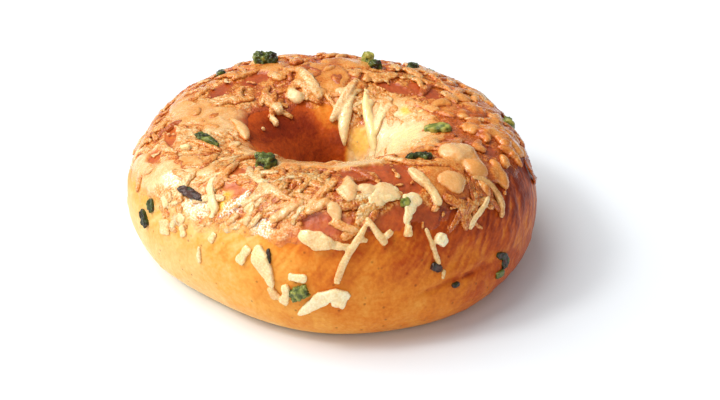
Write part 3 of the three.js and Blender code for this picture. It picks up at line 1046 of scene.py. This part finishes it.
def make_grated_shreds(crust, sheet):
    """Grated shreds that kept their shape on the coat: straight, flat and blunt."""
    rng = np.random.default_rng(11)
    blank = light_blank()
    pieces, tones = [], []
    for path in fine_shreds(rng):
        around, over, _ = path[1]
        if not in_front(around, over) and rng.random() < 0.6:
            continue
        height, sink = rng.uniform(0.7, 1.15), rng.uniform(0.35, 0.6)
        pieces.append(lay(blank, path, height, sink, 0.1, rng.random() * 6))
        tone = rng.choice((0.2, 0.26, 0.32, 0.4, 0.5, 0.7)) + toasting_and_shade(around, over)
        tones.append(np.full(len(blank.data.vertices), tone))
    bpy.data.objects.remove(blank)
    shreds = join(pieces, "grated_shreds")
    bpy.ops.object.shade_smooth()
    points, tone = places_of(shreds), np.concatenate(tones)
    swell(shreds, 0.36 * cloud(points, 1.8, 31) + 0.14 * cloud(points, 0.7, 32))
    # Darker where a shred sinks into what is under it: partly browned thin edges, partly painted
    # shade at its foot
    sunk = 1 - ease(lift_over(shreds, (crust, sheet)), -0.1, 0.6)
    note(shreds, tone=tone - 0.24 * sunk + 0.2 * cloud(points, 2.4, 33), grain=0, rough=0.8)
    brown_and_shade_round(sheet, shreds)
    return shreds


# These give rows of path, height, sink, waver, phase, tone and roughness


def solid_shreds(rng):
    """The solid's seeded shreds, sunk deeper on smooth sheets and on bare crust."""
    for around, over, heading, length, width in spread(*MORE_SHREDS, seeded_draw(SEED)):
        bend, taper = rng.uniform(-1, 1), rng.uniform(0, 0.3)
        path = straight(around, over, heading, length, width, bend, taper)
        bare = in_patches(*path[1][:2], BARE) > -0.3
        sink = 0.8 if bare or in_patches(*path[1][:2], SMOOTH) > 0 else 0.5
        phase = rng.random() * 6
        yield path, 1.6, sink, 0.14, phase, 0 if bare else rng.choice((0.42, 0.5, 0.58)), 0.8


def strewn_shreds(rng):
    """Fine shreds away from the front, about half of them left out."""
    for path in fine_shreds(rng):
        if in_front(*path[1][:2]) or rng.random() < 0.5:
            continue
        height, sink = rng.uniform(0.9, 1.35), rng.uniform(0.25, 0.55)
        phase = rng.random() * 6
        tone = rng.choice((0.34, 0.42, 0.48, 0.54, 0.62, 0.74))
        yield path, height, sink, 0.12, phase, tone, 0.8


def lobes(rng):
    """Soft lobes of melted cheese away from the front, larger and closer at the right."""
    for _ in range(LOBES):
        around, over = rng.uniform(0, 360), rng.uniform(40, 116)
        length, width, height = rng.uniform(3.5, 7.5), rng.uniform(2.2, 4), rng.uniform(1.2, 2)
        if rng.random() < 0.4:
            around, over = rng.normal(352, 18), rng.uniform(48, 112)
            width, height = rng.uniform(2.8, 4.6), rng.uniform(1.8, 2.8)
        heading, bend, taper = rng.uniform(0, 360), rng.uniform(-0.8, 0.8), rng.uniform(0, 0.4)
        path = straight(around, over, heading, length, width, bend, taper)
        foot, end = sheet_edges(around)
        if in_front(around, over) or not foot + 10 < over < end - 8:
            continue
        if in_patches(around, over, BARE) > -0.4 or gap_to_dice(around, over) < 5.5:
            continue
        yield path, height, 0.45, 0.15, around, rng.choice((0.44, 0.54, 0.68)), 0.3


def crumbs(rng):
    """Crumbs all over, with more at the front right and on bare crust."""
    for _ in range(CRUMBS):
        around, over = rng.uniform(0, 360), rng.uniform(22, 120)
        where = rng.random()
        size = rng.uniform(0.7, 1.6)
        if where < 0.22:
            around, over, size = rng.normal(311, 7), rng.normal(43, 8), rng.uniform(1, 1.9)
        elif where < 0.38:
            middle, height, half_length, half_width = BARE[rng.integers(len(BARE))]
            around = rng.normal(middle, 0.5 * half_length)
            over = rng.normal(height, 0.7 * half_width)
        if over < sheet_edges(around)[0] - 6 or in_patches(around, over, SMOOTH) > 0.1:
            continue
        path = straight(around, over, rng.uniform(0, 360), size * rng.uniform(1, 2.2), size)
        yield path, 0.8 * size, 0.55, 0.25, around, rng.uniform(0.45, 0.7), 0.9


def make_melted_shreds(crust, sheet):
    """The solid's shreds, the coat's pieces, and finer shreds, lobes and crumbs, run together."""
    rng = np.random.default_rng(7)
    blank, small, drop, crumb = shred_blank(8, 2), shred_blank(5, 1), drop_blank(3), drop_blank(2)
    rows = [(small, *row) for row in solid_shreds(rng)]
    for tone, height, path in COAT_PIECES:
        kind, rough = (drop, 0.12) if max(row[2] for row in path) > 3 else (blank, 0.5)
        rows.append((kind, path, height, 0.42, 0.1, path[0][0], tone, rough))
    rows += [(small, *row) for row in strewn_shreds(rng)]
    rows += [(crumb, *row) for row in (*lobes(rng), *crumbs(rng))]
    pieces, samples = [], []
    for kind, path, height, sink, waver, phase, tone, rough in rows:
        pieces.append(lay(kind, path, height, sink, waver, phase))
        around, over, _ = path[len(path) // 2]
        tone = tone + toasting_and_shade(around, over)
        samples.append(with_looks(pieces[-1], tone, painted_glint_amount(around, over), rough))
    for spare in (blank, small, drop, crumb):
        bpy.data.objects.remove(spare)
    shreds = join(pieces, "melted_shreds")
    melt(shreds, SHRED_VOXEL, 1)
    roughen(shreds, 2.2, 0.3)
    roughen(shreds, 0.8, 0.2)
    delete_points(shreds, lift_over(shreds, (crust, sheet)) < -HIDDEN_DEPTH)
    tone, grain, rough = taken_from(shreds, np.vstack(samples))
    # Darker where a shred sinks into what is under it: partly browned thin edges, partly painted
    # shade at its foot
    sunk = 1 - ease(lift_over(shreds, (crust, sheet)), -0.1, 0.75)
    note(shreds, tone=tone - 0.38 * sunk, grain=grain, rough=rough)
    brown_and_shade_round(sheet, shreds)
    return shreds


def make_pale_cheese(crust):
    """The pieces that stayed pale: shreds, flakes and drops below the coat's edge and on it."""
    blank = shred_blank(8, 2)
    pale = [lay(blank, path, height, 0.3, 0.12, path[0][0]) for _, height, path in PALE_PIECES]
    samples = [with_looks(piece, row[0], 0, 0.35) for piece, row in zip(pale, PALE_PIECES)]
    bpy.data.objects.remove(blank)
    shreds = join(pale, "pale_cheese")
    melt(shreds, PALE_VOXEL, 2)
    roughen(shreds, 1.6, 0.3)
    tone, grain, rough = taken_from(shreds, np.vstack(samples))
    tone += 0.12 * cloud(places_of(shreds), 3, 15)
    # Darker where a piece sinks into the crust: partly browned thin edges, partly painted shade at
    # its foot
    sunk = 1 - ease(heights_over(shreds, crust), 0, 0.8)
    note(shreds, tone=tone - 0.3 * sunk, grain=grain, rough=rough)
    shreds.data.materials.append(cheese_material("grated_cheese", GRATED_TONES, 0.1))
    return shreds


def make_jalapeno():
    fine, coarse = chunk_blank(3), chunk_blank(2)
    draw = seeded_draw(SEED)
    spread(*MORE_SHREDS, draw)
    rows = [(fine if height > 2 else coarse, flesh, height, path) for flesh, height, path in DICE]
    for around, over, heading, length, width in spread(*MORE_DICE, draw):
        path = straight(around, over, heading, length, width * 0.8)
        rows.append((coarse, 0.2 + 0.4 * (around % 1), 2.0, path))
    bits = []
    for blank, flesh, height, path in rows:
        bit = lay(blank, path, height, 0.4)
        points = places_of(bit)
        small = min(1, sum(row[2] for row in path) / len(path) / 3.4)
        folds = cloud(points, 1.4, 21)
        creases = 0.6 * folds + 0.45 * cloud(points, 0.7, 22) + 0.2 * cloud(points, 0.35, 23)
        swell(bit, small * creases)
        # Olive on the folds and dark in the creases: painted highlight and painted shade over the
        # chilli's own colour
        note(bit, flesh=flesh + 0.35 * np.clip(folds, -0.6, 0.6))
        bits.append(bit)
    jalapeno = join(bits, "jalapeno")
    bpy.ops.object.shade_smooth()
    jalapeno.data.materials.append(jalapeno_material())
    for spare in (fine, coarse):
        bpy.data.objects.remove(spare)
    return jalapeno


def lay_floor():
    deselect()
    bpy.ops.mesh.primitive_plane_add(size=6)
    floor = bpy.context.object
    floor.name = "floor"
    finish = {"Base Color": shade("ECF2F8"), "Roughness": 0.9}
    floor.data.materials.append(start_material("white_paper", finish)[0])


stand_camera()
light_room()
lay_floor()
crust = make_crust()
sheet = make_sheet()
melted_shreds = make_melted_shreds(crust, sheet)
grated_shreds = make_grated_shreds(crust, sheet)
melted = cheese_material("melted_grated_cheese", MELTED_TONES, 0.25)
for piece in (sheet, melted_shreds, grated_shreds):
    piece.data.materials.append(melted)
pale = make_pale_cheese(crust)
jalapeno = make_jalapeno()

cheeses = [(piece, "cheese") for piece in (sheet, melted_shreds, grated_shreds, pale)]
for piece, slot in [(crust, "crust"), *cheeses, (jalapeno, "jalapeno")]:
    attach(piece, "root")
    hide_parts("bagel")
